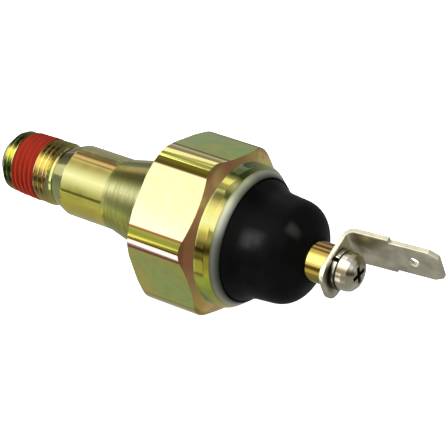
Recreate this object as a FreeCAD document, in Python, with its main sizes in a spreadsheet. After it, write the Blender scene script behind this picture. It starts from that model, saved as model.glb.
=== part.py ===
import FreeCAD, Part
import math
import os
import re
import Sketcher

# Oil pressure sender, in millimetres and degrees.
# +X runs along the axis from the oil thread to the terminal, and +Z is square to one hexagon flat.
# The origin is on the axis at the gauge plane of the taper thread.

# Driving dimensions: alias, value, meaning
SIZES = [
    # Housing, thread end
    ("thread_radius", 4.864, "major radius of the taper thread at its gauge plane"),
    ("thread_taper", 0.03125, "growth of the thread's radius per millimetre of length"),
    ("thread_lead", 4.0, "from the thread's small end to the gauge plane"),
    ("thread_run", 5.9, "from the gauge plane to the thread's last turn"),
    ("tip_chamfer", 1.5, "45 degree chamfer at the small end"),
    ("neck_radius", 4.55, "relief neck behind the thread"),
    ("neck_length", 0.4, "straight part of the neck"),
    ("neck_cone", 2.7, "length of the cone from the neck up to the shank"),
    ("shank_radius", 5.6, "turned shank"),
    ("shank_length", 8.3, "straight part of the shank"),
    ("flare_length", 9.95, "cone between the shank and the hexagon"),
    ("flare_radius", 7.95, "cone where it meets the hexagon"),
    # Housing, hexagon and collar
    ("hex_flats", 24.0, "hexagon across its flats"),
    ("hex_length", 10.9, "length of the hexagon, to the foot of the collar"),
    ("hex_corner", 3.7, "rounding of the hexagon's long edges"),
    ("hex_back_radius", 12.3, "where the chamfer towards the thread starts"),
    ("hex_chamfer_angle", 27.0, "slope of the end chamfers"),
    ("collar_radius", 11.0, "outside of the collar"),
    ("collar_wall", 1.1, "wall of the collar round the cavity"),
    ("collar_straight", 1.7, "straight part of the collar"),
    ("lip_bend", 2.4, "from the hexagon to the bend of the rolled lip"),
    ("lip_bend_step", 0.5, "how far the lip's bend lies inside the collar's outside"),
    ("lip_length", 3.8, "from the hexagon to the end of the rolled lip"),
    ("lip_reach", 1.5, "how far the lip reaches in from the collar's outside"),
    ("lip_inner_bend", 2.2, "from the hexagon to the bend inside the lip"),
    ("lip_inner_end", 2.95, "from the hexagon to the lip's inner edge"),
    ("grip_length", 3.05, "from the hexagon to the shoulder that the lip holds"),
    # Oil way
    ("port_radius", 1.5, "oil way along the shank"),
    ("restrictor_radius", 2.25, "plug in the mouth of the oil way"),
    ("restrictor_length", 4.0, "length of the plug"),
    ("restrictor_sink", 0.5, "how far the plug sits below the tip"),
    ("orifice_radius", 0.4, "fine hole through the plug"),
    ("plug_lead_in", 0.3, "chamfer on the plug's ends"),
    ("chamber_depth", 1.6, "depth of the pressure chamber"),
    ("seat_setback", 8.65, "diaphragm seat, measured back from the foot of the collar"),
    # Diaphragm stack
    ("stack_clearance", 0.1, "radial gap between the stacked rings and the cavity"),
    ("ring_wall", 3.0, "width of the clamped rings, from the chamber to their outside"),
    ("gasket_thickness", 0.8, "gasket under the diaphragm"),
    ("diaphragm_thickness", 0.3, "sheet of the diaphragm"),
    ("roll_gap", 0.2, "from the chamber's wall to the diaphragm's convolution"),
    ("roll_width", 1.5, "width of the convolution"),
    ("roll_depth", 0.6, "depth of the convolution"),
    ("roll_slope", 0.35, "width of the convolution's sloping sides"),
    ("plate_gap", 0.4, "from the convolution to the stiff disc on the diaphragm"),
    ("plate_thickness", 0.4, "thickness of the disc"),
    ("head_step", 0.4, "how far the disc stands out beyond the pusher's head"),
    ("head_thickness", 0.8, "thickness of the pusher's head"),
    ("stem_radius", 2.3, "stem of the pusher"),
    ("spigot_radius", 1.2, "spigot of the pusher, through the moving plate"),
    ("spigot_height", 0.7, "spigot above the moving plate"),
    ("running_clearance", 0.08, "radial gap of the stem in its guide"),
    ("travel", 0.7, "travel of the pusher"),
    ("stop_gap", 0.05, "gap left at the end of the travel"),
    ("ring_web", 1.2, "thickness of the contact ring over its recess"),
    # Contacts
    ("fixed_inner", 4.0, "inside of the silver ring"),
    ("fixed_outer", 5.5, "outside of the silver ring"),
    ("fixed_sink", 0.25, "depth of the silver ring's groove"),
    ("fixed_proud", 0.2, "silver ring above the contact ring"),
    ("rivet_count", 3, "silver rivets in the moving plate"),
    ("rivet_circle", 4.75, "radius of the circle of silver rivets"),
    ("rivet_head_radius", 0.65, "head of a silver rivet"),
    ("rivet_head_height", 0.35, "height of that head"),
    ("rivet_shank_radius", 0.4, "shank of a silver rivet"),
    ("rivet_tail_radius", 0.6, "upset tail of a silver rivet"),
    ("rivet_tail_height", 0.25, "height of that tail"),
    ("contact_plate_radius", 5.7, "moving plate"),
    ("contact_plate_thickness", 0.6, "thickness of the moving plate"),
    ("contact_cup_radius", 3.65, "inside of the plate's rim round the spring"),
    ("contact_rim_width", 0.35, "width of that rim"),
    ("contact_rim_height", 0.5, "height of that rim"),
    # Spring and setting screw
    ("spring_radius", 3.0, "middle of the spring's wire"),
    ("spring_wire", 0.7, "diameter of the spring's wire"),
    ("spring_length", 5.5, "spring as fitted"),
    ("spring_pitch", 1.375, "distance from turn to turn"),
    ("setting_flange_radius", 3.9, "flange that the spring presses on"),
    ("setting_flange_thickness", 0.8, "thickness of that flange"),
    ("setting_pilot_radius", 2.4, "pilot inside the spring"),
    ("setting_pilot_height", 0.9, "height of that pilot"),
    ("setting_gap", 0.3, "room left between the flange and the post"),
    ("setting_radius", 2.1, "shank of the setting screw"),
    ("setting_length", 4.8, "length of that shank"),
    ("setting_slot_width", 0.7, "screwdriver slot"),
    ("setting_slot_depth", 0.8, "depth of that slot"),
    # Insulator
    ("skirt_clearance", 0.9, "radial gap between the moving plate and the insulator's skirt"),
    ("lip_clearance", 0.13, "gap between the insulator and the lip's edge"),
    ("shoulder_rise", 0.6, "straight step inside the lip"),
    ("shoulder_cone", 2.1, "length of the cone above that step"),
    ("barrel_base_radius", 8.25, "barrel at its foot"),
    ("barrel_top_radius", 7.75, "barrel at its top"),
    ("barrel_length", 5.9, "length of the barrel"),
    ("nose_length", 2.3, "length of the nose"),
    ("nose_face_radius", 3.4, "flat round the post"),
    ("nose_round", 4.0, "rounding from barrel to nose"),
    ("nose_round_setback", 4.815, "centre of that rounding, measured back from the nose"),
    ("nose_round_inset", 3.806, "how far that centre lies inside the barrel's radius"),
    ("foot_round", 5.0, "hollow rounding at the foot of the barrel"),
    ("foot_round_shift", 1.473, "centre of that rounding, past the foot"),
    ("foot_round_outset", 4.894, "how far that centre lies outside the barrel's radius"),
    ("seal_setback", 4.0, "seal groove, measured back from under the lip"),
    ("seal_section", 0.9, "thickness of the seal ring"),
    ("seal_groove_room", 0.2, "spare width of the seal groove on each side"),
    # Terminal
    ("post_radius", 3.1, "brass post"),
    ("post_reach", 3.43, "post above the insulator's nose"),
    ("post_flange_radius", 5.0, "flange that is moulded into the insulator"),
    ("post_flange_thickness", 1.2, "thickness of that flange"),
    ("post_groove_radius", 2.6, "groove that keys the post in the moulding"),
    ("post_groove_width", 1.5, "width of that groove"),
    ("post_groove_setback", 2.6, "groove, measured back from the nose"),
    ("post_thread_radius", 1.25, "tapped hole for the terminal screw"),
    ("post_thread_depth", 9.0, "depth of that hole"),
    ("post_edge", 0.2, "chamfer on the post's end"),
    ("lug_thickness", 0.8, "sheet of the lug"),
    ("lug_angle", 55.0, "turn of the lug about the axis, from +Z towards +Y"),
    ("lug_end", 4.15, "from the screw to the round end of the tongue"),
    ("lug_end_half", 3.35, "half width of the tongue at its round end"),
    ("lug_end_round", 2.1, "rounding of that end"),
    ("lug_half", 3.75, "half width at the fold"),
    ("lug_fold", 4.2, "from the screw to the inner face of the blade"),
    ("lug_taper_stop", 1.2, "tongue keeps its full width this far below the fold"),
    ("fold_round", 1.0, "inner radius of the fold"),
    ("blade_lean", 4.2, "outward lean of the blade"),
    ("blade_base", 6.2, "wide part of the blade, from the tongue's outer face"),
    ("blade_length", 14.0, "whole blade, from the tongue's outer face"),
    ("blade_half", 3.15, "half width of the blade"),
    ("blade_corner_length", 1.5, "length of the tip's corner cuts"),
    ("blade_corner_width", 0.9, "width of the tip's corner cuts"),
    ("blade_hole_radius", 0.9, "hole in the blade"),
    ("blade_hole_setback", 4.4, "hole, measured back from the tip"),
    ("screw_hole_radius", 1.6, "clearance hole for the screw"),
    ("washer_radius", 3.1, "split washer"),
    ("washer_thickness", 0.8, "thickness of the washer"),
    ("washer_gap", 0.6, "width of its split"),
    ("washer_turn", 45.0, "split, from +Z towards -Y"),
    ("screw_clearance", 0.02, "radial gap of the screw in its thread"),
    ("screw_length", 8.0, "screw under its head"),
    ("screw_point", 0.4, "chamfer on the screw's point"),
    ("screw_head_radius", 2.9, "head of the screw"),
    ("screw_head_height", 2.4, "height of the head"),
    ("screw_head_round", 1.35, "rounding of the head"),
    ("recess_arm", 1.45, "half length of the cross recess"),
    ("recess_half", 0.36, "half width of its arms"),
    ("recess_depth", 1.5, "depth of the recess"),
    ("recess_turn", 20.0, "turn of the recess, from +Z towards -Y"),
    # Sealant
    ("sealant_start", 0.8, "start of the sealant, before the gauge plane"),
    ("sealant_end", 3.5, "end of the sealant, after the gauge plane"),
    ("sealant_coat", 0.12, "thickness of the sealant"),
]

# Stations along the axis and radii that follow from the driving dimensions
DERIVED = {
    "tip": "-thread_lead",
    "tip_thread_radius": "thread_radius - thread_lead * thread_taper",
    "chamfer_thread_radius": "thread_radius - (thread_lead - tip_chamfer) * thread_taper",
    "end_thread_radius": "thread_radius + thread_run * thread_taper",
    "neck_start": "thread_run + end_thread_radius - neck_radius",
    "neck_end": "neck_start + neck_length",
    "shank_start": "neck_end + neck_cone",
    "shank_end": "shank_start + shank_length",
    "hex_start": "shank_end + flare_length",
    "hex_face": "hex_start + hex_length",
    "lip_top": "hex_face + lip_length",
    "lip_grip": "hex_face + grip_length",
    "cavity_radius": "collar_radius - collar_wall",
    "lip_bend_radius": "collar_radius - lip_bend_step",
    "lip_radius": "collar_radius - lip_reach",
    "stack_radius": "cavity_radius - stack_clearance",
    "chamber_radius": "stack_radius - ring_wall",
    "roll_outer": "chamber_radius - roll_gap",
    "roll_inner": "roll_outer - roll_width",
    "plate_radius": "roll_inner - plate_gap",
    "head_radius": "plate_radius - head_step",
    "skirt_inner": "contact_plate_radius + skirt_clearance",
    "seat": "hex_face - seat_setback",
    "chamber_floor": "seat - chamber_depth",
    "plug_start": "tip + restrictor_sink",
    "plug_end": "plug_start + restrictor_length",
    "gasket_top": "seat + gasket_thickness",
    "diaphragm_top": "gasket_top + diaphragm_thickness",
    "plate_top": "diaphragm_top + plate_thickness",
    "head_top": "plate_top + head_thickness",
    "ring_roof": "head_top + travel + stop_gap",
    "ring_top": "ring_roof + ring_web",
    "contact_face": "ring_top + fixed_proud",
    "moving_base": "contact_face + rivet_head_height",
    "moving_top": "moving_base + contact_plate_thickness",
    "spring_top": "moving_top + spring_length",
    "flange_top": "spring_top + setting_flange_thickness",
    "post_base": "flange_top + setting_gap",
    "setting_tail": "flange_top + setting_length",
    "shoulder_top": "lip_grip + shoulder_rise",
    "shoulder_radius": "lip_radius - lip_clearance",
    "lip_slope": "(cavity_radius - lip_radius) / (lip_inner_end - lip_inner_bend)",
    "grip_start": "hex_face + lip_inner_bend + stack_clearance / lip_slope",
    "grip_end": "hex_face + lip_inner_bend + (cavity_radius - shoulder_radius) / lip_slope",
    "barrel_base": "shoulder_top + shoulder_cone",
    "barrel_top": "barrel_base + barrel_length",
    "nose_face": "barrel_top + nose_length",
    "seal_middle": "lip_grip - seal_setback",
    "seal_half": "seal_section / 2",
    "groove_half": "seal_half + seal_groove_room",
    "seal_floor": "cavity_radius - seal_section",
    "groove_end": "nose_face - post_groove_setback",
    "groove_start": "groove_end - post_groove_width",
    "post_top": "nose_face + post_reach",
    "post_step": "post_top - post_thread_depth",
    "lug_front": "post_top + lug_thickness",
    "washer_top": "lug_front + washer_thickness",
    "screw_point_end": "washer_top - screw_length",
    "screw_radius": "post_thread_radius - screw_clearance",
    "screw_top": "washer_top + screw_head_height",
}

ARCS_PER_TURN = 6

doc = FreeCAD.newDocument("oil_pressure_sender")
sheet = doc.addObject("Spreadsheet::Sheet", "sizes")
for row, (alias, value, meaning) in enumerate(SIZES, start=1):
    sheet.set("A%d" % row, meaning)
    sheet.set("B%d" % row, str(value))
    sheet.setAlias("B%d" % row, alias)
doc.recompute()

ALIASES = {alias for alias, value, meaning in SIZES}
parts = []


def formula(text):
    """The text with derived names written out and every alias pointing into the sheet."""
    def swap(match):
        word = match.group(0)
        if word in DERIVED:
            return "(" + formula(DERIVED[word]) + ")"
        if word in ALIASES:
            return "sizes." + word
        return word
    return re.sub(r"[a-z][a-z_]*", swap, str(text))


def size(text):
    """The number that a formula gives."""
    value = sheet.evalExpression(formula(text))
    return float(getattr(value, "Value", value))


def bind(item, prop, text):
    """Tie a property to the sheet."""
    item.setExpression(prop, formula(text))


def keep(item, label):
    """Name a finished sub-part and list it for export."""
    item.Label = label
    parts.append(item)
    return item


def new_body(name):
    """An empty body for one sub-part."""
    return doc.addObject("PartDesign::Body", name + "_body")


def origin_plane(body, role):
    """One of the body's own origin planes."""
    for feature in body.Origin.OriginFeatures:
        if feature.Role == role:
            return feature
    raise ValueError("no plane " + role)


def new_sketch(body, name, role, offset=None):
    """A sketch on an origin plane, moved along its normal by an optional formula."""
    sketch = body.newObject("Sketcher::SketchObject", name)
    sketch.AttachmentSupport = [(origin_plane(body, role), "")]
    sketch.MapMode = "FlatFace"
    if offset is not None:
        bind(sketch, "AttachmentOffset.Base.z", offset)
    return sketch


def fix_point(sketch, geometry, place, point):
    """Hold a point of the sketch at the two formulas of its coordinates."""
    for axis, text in zip(("DistanceX", "DistanceY"), point):
        value = size(text)
        number = sketch.addConstraint(Sketcher.Constraint(axis, -1, 1, geometry, place, value))
        bind(sketch, "Constraints[%d]" % number, text)


def add_polygon(sketch, points):
    """A closed outline of straight lines through points given as pairs of formulas."""
    places = [FreeCAD.Vector(size(a), size(b), 0) for a, b in points]
    first = sketch.GeometryCount
    count = len(places)
    for index in range(count):
        sketch.addGeometry(Part.LineSegment(places[index], places[(index + 1) % count]), False)
    for index in range(count):
        following = first + (index + 1) % count
        sketch.addConstraint(Sketcher.Constraint("Coincident", first + index, 2, following, 1))
    for index, point in enumerate(points):
        fix_point(sketch, first + index, 1, point)


def add_circle(sketch, centre, radius):
    """A circle about a point given as a pair of formulas."""
    middle = FreeCAD.Vector(size(centre[0]), size(centre[1]), 0)
    circle = Part.Circle(middle, FreeCAD.Vector(0, 0, 1), size(radius))
    number = sketch.addGeometry(circle, False)
    fix_point(sketch, number, 3, centre)
    held = sketch.addConstraint(Sketcher.Constraint("Radius", number, size(radius)))
    bind(sketch, "Constraints[%d]" % held, radius)


def arc_points(along, radius, reach, angles):
    """Points on an arc about a centre, each angle measured from straight out towards +X."""
    return [
        ("%s + %s * sin(%s)" % (along, reach, angle), "%s + %s * cos(%s)" % (radius, reach, angle))
        for angle in angles
    ]


def turn(body, kind, name, *outlines):
    """Turn outlines of (along the axis, radius) points about X, as material or as a cut."""
    sketch = new_sketch(body, name + "_outline", "XZ_Plane")
    for points in outlines:
        add_polygon(sketch, points)
    feature = body.newObject("PartDesign::" + kind, name)
    feature.Profile = sketch
    feature.ReferenceAxis = (sketch, ["H_Axis"])
    feature.Angle = 360
    doc.recompute()
    return feature


def cut_through(body, name, sketch):
    """Cut a sketch's outline right through the body, both ways."""
    feature = body.newObject("PartDesign::Pocket", name)
    feature.Profile = sketch
    feature.Type = 1
    feature.Midplane = True
    doc.recompute()
    return feature


def straight_edges(item, test):
    """Names of the straight edges whose two ends pass a test."""
    names = []
    for index, edge in enumerate(item.Shape.Edges, start=1):
        if isinstance(edge.Curve, Part.Line) and test(*[vertex.Point for vertex in edge.Vertexes]):
            names.append("Edge%d" % index)
    return names


def round_edges(body, name, base, edges, radius):
    """Round named edges of the body's last feature."""
    feature = body.newObject("PartDesign::Fillet", name)
    feature.Base = (base, edges)
    bind(feature, "Radius", radius)
    doc.recompute()
    return feature


def turned_piece(label, *outlines):
    """A sub-part that is one turned solid."""
    body = new_body(label)
    turn(body, "Revolution", label + "_turned", *outlines)
    return keep(body, label)


def ring(label, start, end, inner, outer):
    """A plain ring or washer."""
    return turned_piece(label, [(start, inner), (end, inner), (end, outer), (start, outer)])


def make_housing():
    """Hexagon first, then the turned outside, then the oil way and the cavity."""
    body = new_body("body")
    hexagon = new_sketch(body, "hexagon_outline", "YZ_Plane", "hex_start")
    half = "hex_flats / 2"
    side = "hex_flats / 2 * tan(30)"
    corner = "hex_flats / 2 / cos(30)"
    add_polygon(hexagon, [
        (side, half), ("-" + side, half), ("-" + corner, "0"),
        ("-" + side, "-" + half), (side, "-" + half), (corner, "0"),
    ])
    block = body.newObject("PartDesign::Pad", "hexagon")
    block.Profile = hexagon
    bind(block, "Length", "hex_length")
    doc.recompute()
    start, face = size("hex_start"), size("hex_face")
    edges = straight_edges(block, lambda a, b: abs(abs(a.x - b.x) - (face - start)) < 1e-6)
    round_edges(body, "hexagon_corners", block, edges, "hex_corner")
    beyond = "hex_flats"
    drop = "(hex_flats - collar_radius) * tan(hex_chamfer_angle)"
    back_drop = "(hex_flats - hex_back_radius) * tan(hex_chamfer_angle)"
    turn(
        body, "Groove", "hexagon_chamfers",
        [("hex_face", "collar_radius"), ("hex_face", beyond), ("hex_face - " + drop, beyond)],
        [("hex_start", "hex_back_radius"), ("hex_start + " + back_drop, beyond), ("hex_start", beyond)],
    )
    turn(body, "Revolution", "turned_outside", [
        ("tip", "0"),
        ("tip", "tip_thread_radius - tip_chamfer"),
        ("tip + tip_chamfer", "chamfer_thread_radius"),
        ("thread_run", "end_thread_radius"),
        ("neck_start", "neck_radius"),
        ("neck_end", "neck_radius"),
        ("shank_start", "shank_radius"),
        ("shank_end", "shank_radius"),
        ("hex_start", "flare_radius"),
        ("seat", "collar_radius"),
        ("hex_face + collar_straight", "collar_radius"),
        ("hex_face + lip_bend", "lip_bend_radius"),
        ("lip_top", "lip_radius"),
        ("lip_top", "0"),
    ])
    turn(body, "Groove", "oil_way_and_cavity", [
        ("tip", "0"),
        ("tip", "restrictor_radius"),
        ("plug_end", "restrictor_radius"),
        ("plug_end", "port_radius"),
        ("chamber_floor", "port_radius"),
        ("chamber_floor", "chamber_radius"),
        ("seat", "chamber_radius"),
        ("seat", "cavity_radius"),
        ("hex_face + lip_inner_bend", "cavity_radius"),
        ("hex_face + lip_inner_end", "lip_radius"),
        ("lip_top", "lip_radius"),
        ("lip_top", "0"),
    ])
    keep(body, "body")


def make_sealant():
    """Dry sealant as an even coat on the tapered thread."""
    start = "thread_radius - sealant_start * thread_taper"
    end = "thread_radius + sealant_end * thread_taper"
    turned_piece("thread_sealant", [
        ("-sealant_start", start),
        ("sealant_end", end),
        ("sealant_end", end + " + sealant_coat"),
        ("-sealant_start", start + " + sealant_coat"),
    ])


def make_restrictor():
    """Chamfered plug with a fine hole."""
    turned_piece("port_restrictor", [
        ("plug_start", "orifice_radius"),
        ("plug_end", "orifice_radius"),
        ("plug_end", "restrictor_radius - plug_lead_in"),
        ("plug_end - plug_lead_in", "restrictor_radius"),
        ("plug_start + plug_lead_in", "restrictor_radius"),
        ("plug_start", "restrictor_radius - plug_lead_in"),
    ])


def make_diaphragm():
    """Thin sheet with one convolution that hangs into the pressure chamber."""
    turned_piece("diaphragm", [
        ("gasket_top", "0"),
        ("gasket_top", "roll_inner"),
        ("gasket_top - roll_depth", "roll_inner + roll_slope"),
        ("gasket_top - roll_depth", "roll_outer - roll_slope"),
        ("gasket_top", "roll_outer"),
        ("gasket_top", "stack_radius"),
        ("diaphragm_top", "stack_radius"),
        ("diaphragm_top", "roll_outer"),
        ("diaphragm_top - roll_depth", "roll_outer - roll_slope"),
        ("diaphragm_top - roll_depth", "roll_inner + roll_slope"),
        ("diaphragm_top", "roll_inner"),
        ("diaphragm_top", "0"),
    ])


def make_pusher():
    """Plunger: head on the stiff disc, stem through the ring, spigot through the moving plate."""
    turned_piece("pusher", [
        ("plate_top", "0"),
        ("plate_top", "head_radius"),
        ("head_top", "head_radius"),
        ("head_top", "stem_radius"),
        ("moving_base", "stem_radius"),
        ("moving_base", "spigot_radius"),
        ("moving_top + spigot_height", "spigot_radius"),
        ("moving_top + spigot_height", "0"),
    ])


def make_contact_ring():
    """Ring over the diaphragm: recess for the pusher's head, guide hole, groove for the silver ring."""
    turned_piece("contact_ring", [
        ("diaphragm_top", "chamber_radius"),
        ("ring_roof", "chamber_radius"),
        ("ring_roof", "stem_radius + running_clearance"),
        ("ring_top", "stem_radius + running_clearance"),
        ("ring_top", "fixed_inner"),
        ("ring_top - fixed_sink", "fixed_inner"),
        ("ring_top - fixed_sink", "fixed_outer"),
        ("ring_top", "fixed_outer"),
        ("ring_top", "stack_radius"),
        ("diaphragm_top", "stack_radius"),
    ])


def make_contact_plate():
    """Moving plate with a low rim round the spring and holes for its rivets and the spigot."""
    body = new_body("contact_plate")
    turn(body, "Revolution", "plate_turned", [
        ("moving_base", "spigot_radius"),
        ("moving_top", "spigot_radius"),
        ("moving_top", "contact_cup_radius"),
        ("moving_top + contact_rim_height", "contact_cup_radius"),
        ("moving_top + contact_rim_height", "contact_cup_radius + contact_rim_width"),
        ("moving_top", "contact_cup_radius + contact_rim_width"),
        ("moving_top", "contact_plate_radius"),
        ("moving_base", "contact_plate_radius"),
    ])
    hole = new_sketch(body, "rivet_hole_outline", "YZ_Plane")
    add_circle(hole, ("0", "rivet_circle"), "rivet_shank_radius")
    holes = cut_through(body, "rivet_hole", hole)
    pattern = body.newObject("PartDesign::PolarPattern", "rivet_holes")
    pattern.Originals = [holes]
    pattern.Axis = (hole, ["N_Axis"])
    pattern.Angle = 360
    bind(pattern, "Occurrences", "rivet_count")
    body.Tip = pattern
    doc.recompute()
    keep(body, "contact_plate")


def cylinder(name, start, length, radius, off_axis="0", turned="0"):
    """A cylinder along X, standing off the axis at a turn from +Z."""
    item = doc.addObject("Part::Cylinder", name)
    item.Placement = FreeCAD.Placement(FreeCAD.Vector(), FreeCAD.Rotation(FreeCAD.Vector(0, 1, 0), 90))
    bind(item, "Radius", radius)
    bind(item, "Height", length)
    bind(item, "Placement.Base.x", start)
    bind(item, "Placement.Base.y", "-(%s) * sin(%s)" % (off_axis, turned))
    bind(item, "Placement.Base.z", "(%s) * cos(%s)" % (off_axis, turned))
    return item


def make_moving_contacts():
    """Silver rivets: head towards the fixed ring, shank in the plate, tail upset on top."""
    rivets = []
    for number in range(int(size("rivet_count"))):
        turned = "%d * 360 / rivet_count" % number
        places = [
            ("head", "contact_face", "rivet_head_height", "rivet_head_radius"),
            ("shank", "moving_base", "contact_plate_thickness", "rivet_shank_radius"),
            ("tail", "moving_top", "rivet_tail_height", "rivet_tail_radius"),
        ]
        rivet = doc.addObject("Part::MultiFuse", "rivet_%d" % number)
        rivet.Shapes = [
            cylinder("rivet_%s_%d" % (name, number), start, length, radius, "rivet_circle", turned)
            for name, start, length, radius in places
        ]
        rivets.append(rivet)
    group = doc.addObject("Part::Compound", "rivets")
    group.Links = rivets
    keep(group, "moving_contacts")


def make_spring():
    """Round wire along arcs through points of a helix, between the moving plate and the flange."""
    radius, pitch, wire = size("spring_radius"), size("spring_pitch"), size("spring_wire")
    height = size("spring_length") - wire
    start = size("moving_top") + wire / 2
    count = round(ARCS_PER_TURN * height / pitch)

    def point(step):
        angle = 2 * math.pi * height / pitch * step / count
        along = start + height * step / count
        return FreeCAD.Vector(along, radius * math.sin(angle), radius * math.cos(angle))
    arcs = [Part.Arc(point(step), point(step + 0.5), point(step + 1)).toShape() for step in range(count)]
    first = arcs[0]
    heading = first.tangentAt(first.FirstParameter)
    section = Part.Wire(Part.makeCircle(wire / 2, point(0), heading))
    coil = doc.addObject("Part::Feature", "spring_coil")
    coil.Shape = Part.Wire(arcs).makePipeShell([section], True, False)
    coil.Placement = FreeCAD.Placement()
    keep(coil, "contact_spring")


def make_setting_screw():
    """Slotted screw in the post, with a flange and a pilot for the spring."""
    body = new_body("setting_screw")
    turn(body, "Revolution", "setting_turned", [
        ("spring_top - setting_pilot_height", "0"),
        ("spring_top - setting_pilot_height", "setting_pilot_radius"),
        ("spring_top", "setting_pilot_radius"),
        ("spring_top", "setting_flange_radius"),
        ("flange_top", "setting_flange_radius"),
        ("flange_top", "setting_radius"),
        ("setting_tail", "setting_radius"),
        ("setting_tail", "0"),
    ])
    slot = new_sketch(body, "setting_slot_outline", "XY_Plane")
    add_polygon(slot, [
        ("setting_tail - setting_slot_depth", "-setting_slot_width / 2"),
        ("setting_tail + setting_slot_depth", "-setting_slot_width / 2"),
        ("setting_tail + setting_slot_depth", "setting_slot_width / 2"),
        ("setting_tail - setting_slot_depth", "setting_slot_width / 2"),
    ])
    cut_through(body, "setting_slot", slot)
    keep(body, "setting_screw")


def make_insulator():
    """Moulding: skirt on the contact ring, cone under the lip, barrel, and nose round the post."""
    turned_piece("insulator", [
        ("ring_top", "skirt_inner"),
        ("post_base", "skirt_inner"),
        ("post_base", "post_flange_radius"),
        ("post_base + post_flange_thickness", "post_flange_radius"),
        ("post_base + post_flange_thickness", "post_radius"),
        ("groove_start", "post_radius"),
        ("groove_start", "post_groove_radius"),
        ("groove_end", "post_groove_radius"),
        ("groove_end", "post_radius"),
        ("nose_face", "post_radius"),
        ("nose_face", "nose_face_radius"),
        *arc_points("nose_face - nose_round_setback", "barrel_top_radius - nose_round_inset",
                    "nose_round", (62, 43, 24, 5)),
        *arc_points("barrel_base + foot_round_shift", "barrel_base_radius + foot_round_outset",
                    "-foot_round", (5, 17, 29)),
        ("shoulder_top", "shoulder_radius"),
        ("grip_end", "shoulder_radius"),
        ("grip_start", "stack_radius"),
        ("seal_middle + groove_half", "stack_radius"),
        ("seal_middle + groove_half", "seal_floor"),
        ("seal_middle - groove_half", "seal_floor"),
        ("seal_middle - groove_half", "stack_radius"),
        ("ring_top", "stack_radius"),
    ])


def make_post():
    """Brass post with a flange and a keying groove in the moulding, tapped at both ends."""
    turned_piece("terminal_post", [
        ("post_base", "setting_radius"),
        ("post_base", "post_flange_radius"),
        ("post_base + post_flange_thickness", "post_flange_radius"),
        ("post_base + post_flange_thickness", "post_radius"),
        ("groove_start", "post_radius"),
        ("groove_start", "post_groove_radius"),
        ("groove_end", "post_groove_radius"),
        ("groove_end", "post_radius"),
        ("post_top - post_edge", "post_radius"),
        ("post_top", "post_radius - post_edge"),
        ("post_top", "post_thread_radius"),
        ("post_step", "post_thread_radius"),
        ("post_step", "setting_radius"),
    ])


def fold_edge(item, along, height):
    """Names of the edges across the lug at one place of its side view."""
    x, z = size(along), size(height)

    def across(a, b):
        return all(abs(end.x - x) < 1e-4 and abs(end.z - z) < 1e-4 for end in (a, b))
    return straight_edges(item, across)


def make_lug():
    """Bent sheet: side view padded to the full width, folded round, then trimmed in two plan views."""
    body = new_body("terminal_lug")
    side = new_sketch(body, "lug_side", "XZ_Plane")
    outer_fold = "lug_fold + lug_thickness * (cos(blade_lean) - (1 - sin(blade_lean)) * tan(blade_lean))"
    blade_tip = "lug_front + blade_length * cos(blade_lean)"
    tip_height = "lug_fold + blade_length * sin(blade_lean)"
    add_polygon(side, [
        ("post_top", "-lug_end"),
        ("lug_front", "-lug_end"),
        ("lug_front", "lug_fold"),
        (blade_tip, tip_height),
        (blade_tip + " - lug_thickness * sin(blade_lean)",
         tip_height + " + lug_thickness * cos(blade_lean)"),
        ("post_top", outer_fold),
    ])
    sheet_metal = body.newObject("PartDesign::Pad", "lug_sheet")
    sheet_metal.Profile = side
    sheet_metal.Midplane = True
    bind(sheet_metal, "Length", "2 * lug_half")
    doc.recompute()
    inner = fold_edge(sheet_metal, "lug_front", "lug_fold")
    folded = round_edges(body, "fold_inside", sheet_metal, inner, "fold_round")
    outer = fold_edge(folded, "post_top", outer_fold)
    round_edges(body, "fold_outside", folded, outer, "fold_round + lug_thickness")

    tongue = new_sketch(body, "tongue_trim", "YZ_Plane")
    plan = new_sketch(body, "blade_trim", "XY_Plane")
    beyond = "2 * lug_half"
    past_tip = blade_tip + " + lug_thickness"
    for sign in ("", "-"):
        add_polygon(tongue, [
            (sign + "lug_end_half", "-lug_end"),
            (sign + "lug_half", "lug_fold - lug_taper_stop"),
            (sign + "(" + beyond + ")", "lug_fold - lug_taper_stop"),
            (sign + "(" + beyond + ")", "-lug_end"),
        ])
        add_polygon(plan, [
            ("lug_front + blade_base", sign + "blade_half"),
            (blade_tip + " - blade_corner_length", sign + "blade_half"),
            (blade_tip, sign + "(blade_half - blade_corner_width)"),
            (past_tip, sign + "(blade_half - blade_corner_width)"),
            (past_tip, sign + "(" + beyond + ")"),
            ("lug_front + blade_base", sign + "(" + beyond + ")"),
        ])
    trimmed = cut_through(body, "tongue_sides", tongue)
    end = size("lug_end")

    def end_corner(a, b):
        return abs(a.z + end) < 1e-4 and abs(b.z + end) < 1e-4 and abs(a.y - b.y) < 1e-6
    round_edges(body, "tongue_end", trimmed, straight_edges(trimmed, end_corner), "lug_end_round")
    cut_through(body, "blade_sides", plan)
    screw_hole = new_sketch(body, "screw_hole_outline", "YZ_Plane")
    add_circle(screw_hole, ("0", "0"), "screw_hole_radius")
    cut_through(body, "screw_hole", screw_hole)
    blade_hole = new_sketch(body, "blade_hole_outline", "XY_Plane")
    add_circle(blade_hole, (blade_tip + " - blade_hole_setback", "0"), "blade_hole_radius")
    cut_through(body, "blade_hole", blade_hole)
    turn_about_axis(body, "-lug_angle")
    keep(body, "terminal_lug")


def turn_about_axis(item, angle):
    """Turn a finished sub-part about X."""
    item.Placement = FreeCAD.Placement(FreeCAD.Vector(), FreeCAD.Rotation(FreeCAD.Vector(1, 0, 0), 1))
    bind(item, "Placement.Rotation.Angle", angle)


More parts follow.
